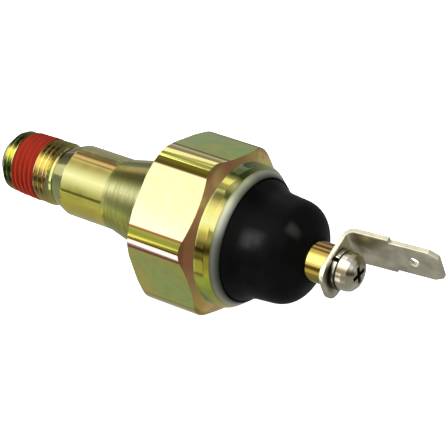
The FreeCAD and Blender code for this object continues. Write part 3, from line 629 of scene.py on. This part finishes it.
def shank_colour(tree, along, turn, mottle):
    """Colour up to the hexagon: the thread's tip, its bare turns, the neck, shank and cone, in painted
    highlights and shade by turn.
    """
    # Painted highlights and shade: the colour bands by turn about the axis stand for reflections.
    tip = ramp(tree, turn, [
        (0.0, GOLD), (0.26, (0.10, 0.12, 0.04)), (0.36, (0.13, 0.13, 0.04)),
        (0.395, (0.66, 0.62, 0.20)), (0.43, (0.58, 0.58, 0.18)), (0.47, (0.12, 0.15, 0.05)),
        (0.58, (0.11, 0.13, 0.04)), (0.75, GOLD),
    ])
    bare = ramp(tree, turn, [
        (0.0, GOLD), (0.27, (0.20, 0.16, 0.05)), (0.35, (0.26, 0.20, 0.07)),
        (0.395, (0.66, 0.56, 0.22)), (0.435, (0.62, 0.53, 0.24)), (0.47, (0.32, 0.24, 0.11)),
        (0.56, (0.34, 0.26, 0.10)), (0.75, GOLD),
    ])
    neck = ramp(tree, turn, [
        (0.0, GOLD), (0.25, (0.34, 0.34, 0.12)), (0.34, (0.12, 0.10, 0.03)),
        (0.40, (0.42, 0.40, 0.17)), (0.46, (0.33, 0.37, 0.15)), (0.505, (0.45, 0.53, 0.19)),
        (0.56, (0.46, 0.50, 0.14)), (0.60, (0.60, 0.58, 0.18)), (1.0, GOLD),
    ])
    shank = ramp(tree, turn, [
        (0.0, GOLD), (0.20, (0.60, 0.60, 0.20)), (0.264, (0.58, 0.56, 0.19)),
        (0.268, (0.14, 0.13, 0.04)), (0.285, (0.08, 0.06, 0.015)), (0.300, (0.05, 0.032, 0.006)),
        (0.304, (0.18, 0.11, 0.02)), (0.316, (0.48, 0.29, 0.06)), (0.322, (0.52, 0.34, 0.13)),
        (0.338, (0.50, 0.33, 0.12)), (0.345, (0.24, 0.18, 0.04)), (0.364, (0.096, 0.08, 0.024)),
        (0.378, (0.16, 0.136, 0.04)), (0.406, (0.32, 0.32, 0.14)), (0.425, (0.42, 0.41, 0.21)),
        (0.444, (0.33, 0.325, 0.135)), (0.472, (0.16, 0.16, 0.05)), (0.486, (0.11, 0.10, 0.012)),
        (0.495, (0.11, 0.10, 0.012)), (0.503, (0.30, 0.28, 0.06)), (0.509, (0.32, 0.30, 0.06)),
        (0.511, (0.17, 0.16, 0.02)), (0.542, (0.20, 0.175, 0.02)), (0.5465, (0.88, 0.77, 0.12)),
        (0.68, (0.78, 0.70, 0.15)), (1.0, GOLD),
    ])
    shank = blend_colours(tree, partly(tree, mottle, 0.25), shank, (0.36, 0.32, 0.10))
    cone = ramp(tree, turn, [
        (0.0, GOLD), (0.262, (0.44, 0.44, 0.14)), (0.27, (0.13, 0.13, 0.03)),
        (0.30, (0.08, 0.08, 0.012)), (0.306, (0.22, 0.20, 0.03)), (0.325, (0.31, 0.24, 0.05)),
        (0.345, (0.07, 0.06, 0.006)), (0.364, (0.052, 0.056, 0.010)),
        (0.381, (0.115, 0.107, 0.028)), (0.396, (0.20, 0.195, 0.075)),
        (0.411, (0.30, 0.31, 0.145)), (0.428, (0.36, 0.35, 0.17)), (0.442, (0.29, 0.28, 0.115)),
        (0.456, (0.20, 0.19, 0.07)), (0.469, (0.15, 0.15, 0.05)), (0.486, (0.19, 0.21, 0.055)),
        (0.503, (0.26, 0.27, 0.07)), (0.522, (0.28, 0.28, 0.05)), (0.542, (0.48, 0.48, 0.07)),
        (0.68, (0.50, 0.50, 0.12)), (1.0, GOLD),
    ])
    lines = step_up(tree, brush_lines(tree), 0.42, 0.62)
    cone = blend_colours(tree, partly(tree, lines, 0.35), cone, (0.10, 0.10, 0.04))

    past_tip = step_up(tree, along, SEALANT_START - 0.2, SEALANT_START + 0.1)
    past_thread = step_up(tree, along, THREAD_END - 0.1, THREAD_END + 1.0)
    past_neck = step_up(tree, along, SHANK_START - 0.3, SHANK_START + 0.1)
    past_shank = step_up(tree, along, SHANK_END - 0.6, SHANK_END - 0.1)
    threaded = blend_colours(tree, past_tip, tip, bare)
    smooth = blend_colours(tree, past_neck, neck, blend_colours(tree, past_shank, shank, cone))
    return blend_colours(tree, past_thread, threaded, smooth)


def facet_colour(tree, turn, plain):
    """Colour of the hexagon's flats: a painted tone of highlight or shade for each flat by turn, shown most
    on the upper ones towards -Y, with painted highlight and shade along one edge.
    """
    # Painted highlight and shade: one tone for each flat by its turn.
    facets = ramp(tree, turn, [
        (0.0, (0.70, 0.62, 0.20)), (0.22, SAGE), (0.30, SAGE), (0.36, CREAM),
        (0.43, (0.43, 0.42, 0.26)), (0.475, (0.50, 0.48, 0.35)), (0.53, OLIVE), (0.68, OLIVE),
        (0.75, GOLD), (1.0, (0.70, 0.62, 0.20)),
    ])
    clear = maths(tree, "MULTIPLY",
                  step_up(tree, turn, 0.30, 0.34), step_up(tree, turn, 0.53, 0.49))
    patchy = maths(tree, "SUBTRACT", 0.6, partly(tree, clear, 0.42))
    facets = blend_colours(tree, patchy, facets, plain)
    speckle = step_up(tree, noise(tree, 800, 3.0), 0.46, 0.60)
    facets = blend_colours(tree, partly(tree, speckle, 0.14), facets, (0.42, 0.27, 0.11))
    # Painted highlight and shade: dark and bright lines along the top flat's edge by the corner.
    edge = ramp(tree, turn, [
        (0.288, (0.16, 0.11, 0.01)), (0.2925, (0.16, 0.11, 0.01)), (0.2945, (1.0, 0.93, 0.55)),
        (0.3015, (1.0, 0.93, 0.42)), (0.304, (0.60, 0.44, 0.10)), (0.311, (0.55, 0.42, 0.10)),
    ])
    edge_highlight_mask = maths(tree, "MULTIPLY",
                    step_up(tree, turn, 0.2865, 0.288), maths(tree, "LESS_THAN", turn, 0.312))
    return blend_colours(tree, edge_highlight_mask, facets, edge)


def corner_bands(tree, turn):
    """Painted highlights and shade as colour bands across the hexagon's rounded corners, and the mask of
    those corners.
    """
    corner = tree.nodes.new("ShaderNodeGroup")
    corner.node_tree = CORNERS
    tree.links.new(turn, corner.inputs["Turn"])
    even = ramp(tree, corner.outputs["Across"], [
        (0.0, (0.55, 0.42, 0.10)), (0.06, (0.50, 0.40, 0.12)), (0.09, (0.56, 0.50, 0.17)),
        (0.13, (0.61, 0.54, 0.20)), (0.30, (0.60, 0.54, 0.19)), (0.325, (1.0, 0.97, 0.30)),
        (0.41, (0.90, 0.85, 0.24)), (0.435, (0.25, 0.24, 0.035)), (0.52, (0.26, 0.25, 0.04)),
        (0.535, (0.95, 0.93, 0.28)), (0.61, (0.75, 0.70, 0.18)), (0.635, (0.065, 0.056, 0.006)),
        (0.80, (0.05, 0.04, 0.004)), (0.83, (0.035, 0.026, 0.003)), (0.93, (0.04, 0.03, 0.004)),
        (0.96, (0.30, 0.22, 0.13)), (0.99, CREAM),
    ])
    odd = ramp(tree, corner.outputs["Across"], [
        (0.0, CREAM), (0.03, (0.20, 0.09, 0.025)), (0.08, (0.12, 0.05, 0.015)),
        (0.12, (0.16, 0.15, 0.03)), (0.24, (0.11, 0.125, 0.02)), (0.33, (0.14, 0.13, 0.016)),
        (0.40, (0.38, 0.35, 0.05)), (0.49, (0.54, 0.48, 0.08)), (0.525, (0.14, 0.07, 0.02)),
        (0.56, (0.10, 0.05, 0.02)), (0.58, (0.66, 0.56, 0.40)), (0.68, (0.72, 0.60, 0.58)),
        (0.80, (0.66, 0.46, 0.44)), (0.85, (0.45, 0.12, 0.10)), (0.92, (0.30, 0.11, 0.04)),
        (0.97, OLIVE),
    ])
    return blend_colours(tree, corner.outputs["Odd"], even, odd), corner.outputs["Mask"]


def chamfer_colour(tree, out, turn, green):
    """Colour of the hexagon's end chamfer: painted highlights and shade by turn, with green and rosy patches
    and a brown rim.
    """
    # Painted highlights and shade by turn about the axis.
    chamfer = ramp(tree, turn, [
        (0.0, (0.95, 0.72, 0.20)), (0.19, (0.90, 0.70, 0.20)), (0.24, (0.45, 0.32, 0.10)),
        (0.30, (0.34, 0.20, 0.09)), (0.345, ROSE), (0.40, (0.98, 0.66, 0.22)),
        (0.46, (0.42, 0.23, 0.07)), (0.52, (0.42, 0.17, 0.08)), (0.58, (0.66, 0.28, 0.15)),
        (0.64, (0.95, 0.55, 0.12)), (0.70, (0.90, 0.70, 0.20)), (1.0, (0.95, 0.72, 0.20)),
    ])
    chamfer = blend_colours(tree, partly(tree, green, 0.45), chamfer, (0.36, 0.40, 0.13))
    rosy = step_up(tree, noise(tree, 300, 3.0), 0.47, 0.60)
    chamfer = blend_colours(tree, partly(tree, rosy, 0.45), chamfer, (0.52, 0.20, 0.12))
    rim = step_up(tree, out, HEX_BACK_RADIUS, HEX_BACK_RADIUS + 0.6)
    return blend_colours(tree, partly(tree, rim, 0.55), chamfer, (0.20, 0.11, 0.04))


def hexagon_colour(tree, out, turn, plain, green):
    """Colour of the hexagon: flats and corners, then its end chamfer and its plain back."""
    bands, on_corner = corner_bands(tree, turn)
    colour = blend_colours(tree, on_corner, facet_colour(tree, turn, plain), bands)
    facing = tree.nodes.new("ShaderNodeTexCoord")
    split = tree.nodes.new("ShaderNodeSeparateXYZ")
    tree.links.new(facing.outputs["Normal"], split.inputs[0])
    forwards = split.outputs[0]
    colour = blend_colours(tree, step_up(tree, forwards, 0.5, 0.75), colour,
                           chamfer_colour(tree, out, turn, green))
    return blend_colours(tree, step_up(tree, forwards, -0.6, -0.9), colour, plain)


def collar_colour(tree, along, turn):
    """Colour of the collar and of its bent edge, in painted highlights and shade by turn, and a painted
    highlight as a pale line at its root.
    """
    collar = ramp(tree, turn, [
        (0.0, GOLD), (0.17, (0.40, 0.46, 0.14)), (0.24, (0.10, 0.15, 0.05)),
        (0.281, (0.03, 0.04, 0.007)), (0.303, (0.06, 0.08, 0.014)), (0.315, (0.55, 0.54, 0.14)),
        (0.334, (0.66, 0.58, 0.13)), (0.342, (0.80, 0.75, 0.20)), (0.350, (0.30, 0.29, 0.085)),
        (0.362, (0.06, 0.055, 0.015)), (0.374, (0.088, 0.08, 0.02)), (0.386, (0.26, 0.22, 0.065)),
        (0.40, (0.37, 0.34, 0.10)), (0.43, (0.38, 0.38, 0.16)), (0.444, (0.35, 0.31, 0.07)),
        (0.453, (0.21, 0.175, 0.035)), (0.467, (0.13, 0.107, 0.023)),
        (0.475, (0.06, 0.042, 0.008)), (0.492, (0.05, 0.04, 0.004)), (0.50, (0.34, 0.28, 0.05)),
        (0.511, (0.17, 0.145, 0.02)), (0.548, (0.18, 0.17, 0.02)), (0.554, (0.60, 0.66, 0.10)),
        (0.567, (0.67, 0.80, 0.12)), (0.592, (0.49, 0.55, 0.06)), (0.64, (0.20, 0.40, 0.26)),
        (0.67, (0.62, 0.56, 0.12)), (0.72, GOLD), (1.0, GOLD),
    ])
    bend = ramp(tree, turn, [
        (0.0, GOLD), (0.20, (0.40, 0.46, 0.14)), (0.28, (0.07, 0.09, 0.02)),
        (0.303, (0.07, 0.09, 0.02)), (0.314, (0.50, 0.50, 0.13)), (0.328, (1.0, 0.98, 0.42)),
        (0.342, (0.72, 0.69, 0.18)), (0.353, (0.24, 0.24, 0.08)), (0.368, (0.14, 0.13, 0.035)),
        (0.382, (0.32, 0.27, 0.08)), (0.392, (0.50, 0.45, 0.14)), (0.43, (0.52, 0.51, 0.20)),
        (0.444, (0.50, 0.47, 0.11)), (0.455, (0.72, 0.64, 0.14)), (0.467, (0.70, 0.63, 0.14)),
        (0.476, (0.34, 0.26, 0.05)), (0.486, (0.10, 0.08, 0.01)), (0.494, (0.12, 0.10, 0.01)),
        (0.505, (0.60, 0.46, 0.08)), (0.53, (0.60, 0.56, 0.06)), (0.547, (0.78, 0.80, 0.10)),
        (0.567, (0.60, 0.70, 0.11)), (0.60, (0.48, 0.54, 0.07)), (0.70, GOLD), (1.0, GOLD),
    ])
    on_bend = step_up(tree, along, COLLAR_END - 0.03, COLLAR_END + 0.07)
    collar = blend_colours(tree, on_bend, collar, bend)
    # Painted highlight: a pale line at the collar's root.
    past_root = step_up(tree, along, HEX_FACE + 0.10, HEX_FACE + 0.35)
    root = maths(tree, "SUBTRACT", 1.0, past_root)
    return blend_colours(tree, partly(tree, root, 0.15), collar, (0.70, 0.78, 0.30))


# Length along the axis over which the rolled lip's painted highlight and shade change
LIP_ROLL = 1.6


def lip_colour(tree, along, turn, mottle):
    """Grey of the rolled lip, in painted highlights and shade: by turn, and along the roll a painted
    highlight on its crown and painted shade darker towards the insulator.
    """
    lip = ramp(tree, turn, [
        (0.0, (0.50, 0.51, 0.44)), (0.26, (0.55, 0.56, 0.44)), (0.30, (0.90, 0.92, 0.62)),
        (0.35, (0.72, 0.74, 0.56)), (0.40, (0.45, 0.45, 0.36)), (0.47, (0.36, 0.37, 0.31)),
        (0.56, (0.31, 0.33, 0.28)), (0.68, (0.62, 0.60, 0.46)), (0.80, (0.50, 0.51, 0.44)),
    ])
    lip = blend_colours(tree, partly(tree, mottle, 0.25), lip, (0.36, 0.37, 0.30))
    # Painted highlight on the roll's crown, and painted shade towards the insulator.
    rolled = maths(tree, "DIVIDE", maths(tree, "SUBTRACT", along, LIP_BEND - 0.15), LIP_ROLL)
    roll_highlight_and_shade = ramp(tree, rolled, [
        (0.05, (0.35, 0.33, 0.20)), (0.15, (0.80, 0.80, 0.60)), (0.28, (1.0, 1.0, 0.90)),
        (0.42, (0.82, 0.84, 0.80)), (0.58, (0.50, 0.52, 0.50)), (0.72, (0.30, 0.31, 0.30)),
        (0.84, (0.10, 0.11, 0.10)), (0.92, (0.01, 0.01, 0.01)),
    ])
    return blend_colours(tree, 1.0, lip, roll_highlight_and_shade, "MULTIPLY")


def zinc_colour(tree, along, out, turn):
    """Colour of the plating by place, with its painted highlights and shade, and the mask of the rolled lip.
    """
    mottle = step_up(tree, noise(tree, 170, 3.0), 0.40, 0.62)
    green = step_up(tree, noise(tree, 120, 2.0, (1, 1.3, 0.8)), 0.46, 0.66)
    plain = blend_colours(tree, green, blend_colours(tree, mottle, OLIVE, GOLD), SAGE)

    on_hexagon = step_up(tree, along, HEX_START - 0.10, HEX_START)
    colour = blend_colours(tree, on_hexagon, shank_colour(tree, along, turn, mottle),
                           hexagon_colour(tree, out, turn, plain, green))
    on_turned = step_up(tree, maths(tree, "SUBTRACT", COLLAR_RADIUS + 0.06, out), 0.0, 0.03)
    past_face = step_up(tree, along, HEX_FACE - 0.25, HEX_FACE - 0.05)
    on_collar = maths(tree, "MULTIPLY", on_turned, past_face)
    colour = blend_colours(tree, on_collar, colour, collar_colour(tree, along, turn))
    on_lip = step_up(tree, along, LIP_BEND - 0.10, LIP_BEND + 0.05)
    return blend_colours(tree, on_lip, colour, lip_colour(tree, along, turn, mottle)), on_lip


def make_zinc():
    """Yellow chromate on zinc, polished, with a brushed cone and a duller lip."""
    made, shader = material("yellow_zinc")
    tree = made.node_tree
    along, out, turn = about_axis(tree)
    colour, on_lip = zinc_colour(tree, along, out, turn)
    tree.links.new(colour, shader.inputs["Base Color"])
    shader.inputs["Metallic"].default_value = 1.0

    past_shank = step_up(tree, along, SHANK_END - 0.7, SHANK_END - 0.2)
    past_cone = step_up(tree, along, HEX_START - 0.35, HEX_START - 0.05)
    brushed = maths(tree, "MULTIPLY", past_shank, maths(tree, "SUBTRACT", 1.0, past_cone))
    rough = maths(tree, "ADD", partly(tree, brushed, 0.18), 0.12)
    rough = maths(tree, "ADD", rough, partly(tree, on_lip, 0.20))
    tree.links.new(rough, shader.inputs["Roughness"])

    depth = maths(tree, "ADD", brushed, 0.05)
    height = maths(tree, "MULTIPLY", brush_lines(tree), depth)
    add_bump(tree, shader, height, 0.55, 0.02)
    return made


def make_dry_sealant():
    """Matt red coat, with painted shade darker down between the turns."""
    made, shader = material("dry_sealant")
    tree = made.node_tree
    along, out, _ = about_axis(tree)
    # Painted shade: the colour darkens with depth below the coat's crest.
    crest = maths(tree, "ADD", maths(tree, "MULTIPLY", along, TAPER), THREAD_RADIUS + COAT)
    depth = maths(tree, "SUBTRACT", crest, out)
    colour = ramp(tree, depth, [
        (0.0, (0.24, 0.016, 0.004)), (0.20, (0.14, 0.008, 0.003)), (0.40, (0.045, 0.003, 0.001)),
    ])
    patches = partly(tree, noise(tree, 420, 4.0), 0.35)
    colour = blend_colours(tree, patches, colour, (0.20, 0.013, 0.003))
    tree.links.new(colour, shader.inputs["Base Color"])
    shader.inputs["Roughness"].default_value = 0.62
    shader.inputs["Specular IOR Level"].default_value = 0.06
    add_bump(tree, shader, noise(tree, 1500, 4.0), 0.4, 0.04)
    return made


# Two soft highlights on the moulding, each as (place along the axis and its reach in mm, turn and
# its reach, colour)
SHEENS = [
    (46.3, 2.6, 0.436, 0.042, (0.040, 0.042, 0.039)),
    (50.7, 1.1, 0.355, 0.032, (0.022, 0.023, 0.021)),
]


def make_moulding():
    """Black moulding with a faint unevenness that breaks its soft highlights."""
    made, shader = material("black_moulding")
    tree = made.node_tree
    cloud = noise(tree, 160, 3.0)
    along, _, turn = about_axis(tree)
    tint = ramp(tree, cloud, [(0.35, (0.001, 0.001, 0.001)), (0.7, (0.003, 0.003, 0.0028))])
    for place, reach, middle, spread, colour in SHEENS:
        off = maths(tree, "ABSOLUTE", maths(tree, "SUBTRACT", along, place))
        round_off = maths(tree, "ABSOLUTE", maths(tree, "SUBTRACT", turn, middle))
        sheen = maths(tree, "MULTIPLY",
                      step_up(tree, off, reach, 0.2), step_up(tree, round_off, spread, 0.004))
        sheen = maths(tree, "MULTIPLY", sheen, step_up(tree, cloud, 0.25, 0.6))
        tint = blend_colours(tree, sheen, tint, colour)
    tree.links.new(tint, shader.inputs["Base Color"])
    rough = maths(tree, "ADD", partly(tree, cloud, 0.14), 0.36)
    tree.links.new(rough, shader.inputs["Roughness"])
    shader.inputs["Specular IOR Level"].default_value = 0.09
    shader.inputs["IOR"].default_value = 1.3
    return made


zinc = make_zinc()
sealant = make_dry_sealant()
black = make_moulding()
brass = simple("polished_brass", (0.72, 0.48, 0.13), 1.0, 0.14, 0.05)
tin = make_tinned_sheet()
# The bands given to these three are painted highlights and shade by turn about the axis.
banded_brass = make_banded("turned_brass", 0.13, [
    (0.25, (0.20, 0.10, 0.02)), (0.31, (0.15, 0.07, 0.012)), (0.328, (0.40, 0.26, 0.07)),
    (0.35, (0.24, 0.15, 0.015)), (0.375, (0.22, 0.15, 0.024)), (0.40, (0.56, 0.46, 0.12)),
    (0.425, (0.62, 0.52, 0.15)), (0.447, (0.60, 0.50, 0.13)), (0.465, (0.36, 0.28, 0.07)),
    (0.486, (0.16, 0.10, 0.006)), (0.51, (0.26, 0.19, 0.02)), (0.54, (0.22, 0.16, 0.02)),
    (0.56, (0.50, 0.38, 0.05)), (0.60, (0.28, 0.22, 0.03)), (0.75, (0.60, 0.45, 0.11)),
], seam=None)
pan_head = make_banded("screw_plating", 0.22, [
    (0.20, (0.50, 0.47, 0.36)), (0.28, (0.28, 0.25, 0.16)), (0.325, (0.90, 0.86, 0.68)),
    (0.37, (0.96, 0.93, 0.84)), (0.395, (0.92, 0.88, 0.78)), (0.417, (0.45, 0.42, 0.28)),
    (0.44, (0.13, 0.10, 0.06)), (0.462, (0.10, 0.07, 0.04)), (0.484, (0.46, 0.42, 0.30)),
    (0.53, (0.57, 0.50, 0.37)), (0.60, (0.60, 0.57, 0.43)), (0.66, (0.77, 0.77, 0.62)),
    (0.80, (0.60, 0.58, 0.48)),
], seam=WASHER_TOP, middle=(0.42, 0.39, 0.30))
spring_washer = make_banded("washer_plating", 0.20, [
    (0.25, (0.40, 0.38, 0.30)), (0.33, (0.80, 0.76, 0.66)), (0.40, (0.66, 0.63, 0.54)),
    (0.44, (0.26, 0.26, 0.21)), (0.48, (0.11, 0.12, 0.09)), (0.66, (0.10, 0.11, 0.08)),
    (0.75, (0.40, 0.38, 0.30)),
], seam=WASHER_FOOT)
silver = simple("contact_silver", (0.86, 0.85, 0.83), 1.0, 0.25)
spring = simple("spring_steel", (0.5, 0.5, 0.52), 1.0, 0.3)
rubber = simple("black_rubber", (0.02, 0.02, 0.02), 0.0, 0.6)
film = simple("amber_film", (0.55, 0.3, 0.08), 0.0, 0.3)
light_moulding = simple("cream_moulding", (0.75, 0.7, 0.58), 0.0, 0.45)


def paint(piece, look):
    """Give a piece its one material."""
    piece.data.materials.clear()
    piece.data.materials.append(look)


def finish_piece(piece, look):
    """Give a new piece its material, and let it ride on the housing unless it is blended."""
    paint(piece, look)
    if "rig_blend" not in piece:
        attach(piece, "housing")


finish_piece(make_housing(), zinc)
finish_piece(make_sealant(), sealant)
finish_piece(make_insulator(), black)
finish_piece(make_post(), banded_brass)
finish_piece(make_spring(), spring)
soften("terminal_lug", 0.1)
soften("lock_washer", 0.08)
LOOKS = {
    "port_restrictor": brass, "diaphragm_gasket": rubber, "diaphragm": film,
    "diaphragm_plate": spring, "pusher": light_moulding, "contact_ring": spring,
    "fixed_contact": silver, "contact_plate": brass, "moving_contacts": silver,
    "setting_screw": brass, "insulator_seal": rubber, "terminal_lug": tin,
    "lock_washer": spring_washer, "terminal_screw": pan_head,
}
for name, look in LOOKS.items():
    paint(NODES[name], look)


# Floor, light and camera

def make_floor():
    """A pale floor under the part."""
    reach = 3.0  # in metres
    height = (BOTTOM - 0.05) * MM
    mesh = bpy.data.meshes.new("floor")
    mesh.from_pydata([(-reach, -reach, height), (reach, -reach, height),
                      (reach, reach, height), (-reach, reach, height)], [], [(0, 1, 2, 3)])
    floor = bpy.data.objects.new("floor", mesh)
    bpy.context.collection.objects.link(floor)
    look, shader = material("pale_floor")
    shader.inputs["Base Color"].default_value = (0.92, 0.92, 0.92, 1)
    shader.inputs["Roughness"].default_value = 0.9
    shader.inputs["Emission Color"].default_value = (1, 1, 1, 1)
    shader.inputs["Emission Strength"].default_value = 1.0
    mesh.materials.append(look)
    floor.visible_glossy = False


# Where the panels point, along the axis
PART_MIDDLE = 33


def panel(name, turn, spread, radiance, lean=-0.512, length=0.6):
    """A soft rectangular light round the part's axis, facing the middle of the part.

    turn is its place about the axis from +Y towards +Z, and spread how far it reaches round, both
    in degrees. lean is the direction's part along +X, and length its metres along the axis.
    """
    distance = 0.6  # in metres
    angle = math.radians(turn)
    ring = math.sqrt(1 - lean ** 2)
    towards = Vector((lean, ring * math.cos(angle), ring * math.sin(angle)))
    across = Vector((0, -math.sin(angle), math.cos(angle)))
    light = bpy.data.lights.new(name, "AREA")
    light.shape = "RECTANGLE"
    light.size = 2 * distance * ring * math.tan(math.radians(spread / 2))
    light.size_y = length
    light.energy = radiance * math.pi * light.size * light.size_y
    lamp = bpy.data.objects.new(name, light)
    bpy.context.collection.objects.link(lamp)
    side = towards.cross(across)
    place = Vector((PART_MIDDLE * MM, 0, 0)) + towards * distance
    lamp.matrix_world = Matrix((
        (across.x, side.x, towards.x, place.x),
        (across.y, side.y, towards.y, place.y),
        (across.z, side.z, towards.z, place.z),
        (0, 0, 0, 1),
    ))


def make_world():
    """Even soft light from all round."""
    world = bpy.data.worlds.new("studio")
    bpy.context.scene.world = world
    world.use_nodes = True
    back = world.node_tree.nodes["Background"]
    back.inputs["Color"].default_value = (1, 1, 1, 1)
    back.inputs["Strength"].default_value = 0.40


def make_camera():
    """The photograph's view, fitted to the hexagon, the shank and the terminal."""
    camera = bpy.data.cameras.new("camera")
    camera.lens, camera.sensor_width = 194.7, 36
    camera.clip_start, camera.clip_end = 0.01, 20
    viewer = bpy.data.objects.new("camera", camera)
    bpy.context.collection.objects.link(viewer)
    right = Vector((0.8128, 0.5755, 0.0897))
    forward = Vector((-0.5124, 0.7797, -0.3599))
    up = right.cross(forward)
    viewer.matrix_world = Matrix((
        (right.x, up.x, -forward.x, 219.65 * MM),
        (right.y, up.y, -forward.y, -279.37 * MM),
        (right.z, up.z, -forward.z, 129.76 * MM),
        (0, 0, 0, 1),
    ))
    bpy.context.scene.camera = viewer


make_floor()
make_world()
panel("key", turn=146.4, spread=93, radiance=2.1, length=0.85)
panel("behind", turn=50, spread=24, radiance=1.2)
panel("over", turn=82, spread=12, radiance=1.0)
panel("under", turn=224, spread=24, radiance=1.4)
panel("front", turn=136, spread=56, radiance=1.5, lean=0.62, length=0.45)
panel("between", turn=141, spread=74, radiance=1.8, lean=0.192, length=0.143)
panel("end", turn=134, spread=60, radiance=1.0, lean=-0.95, length=0.3)
make_camera()
bpy.context.scene.view_settings.view_transform = "Standard"
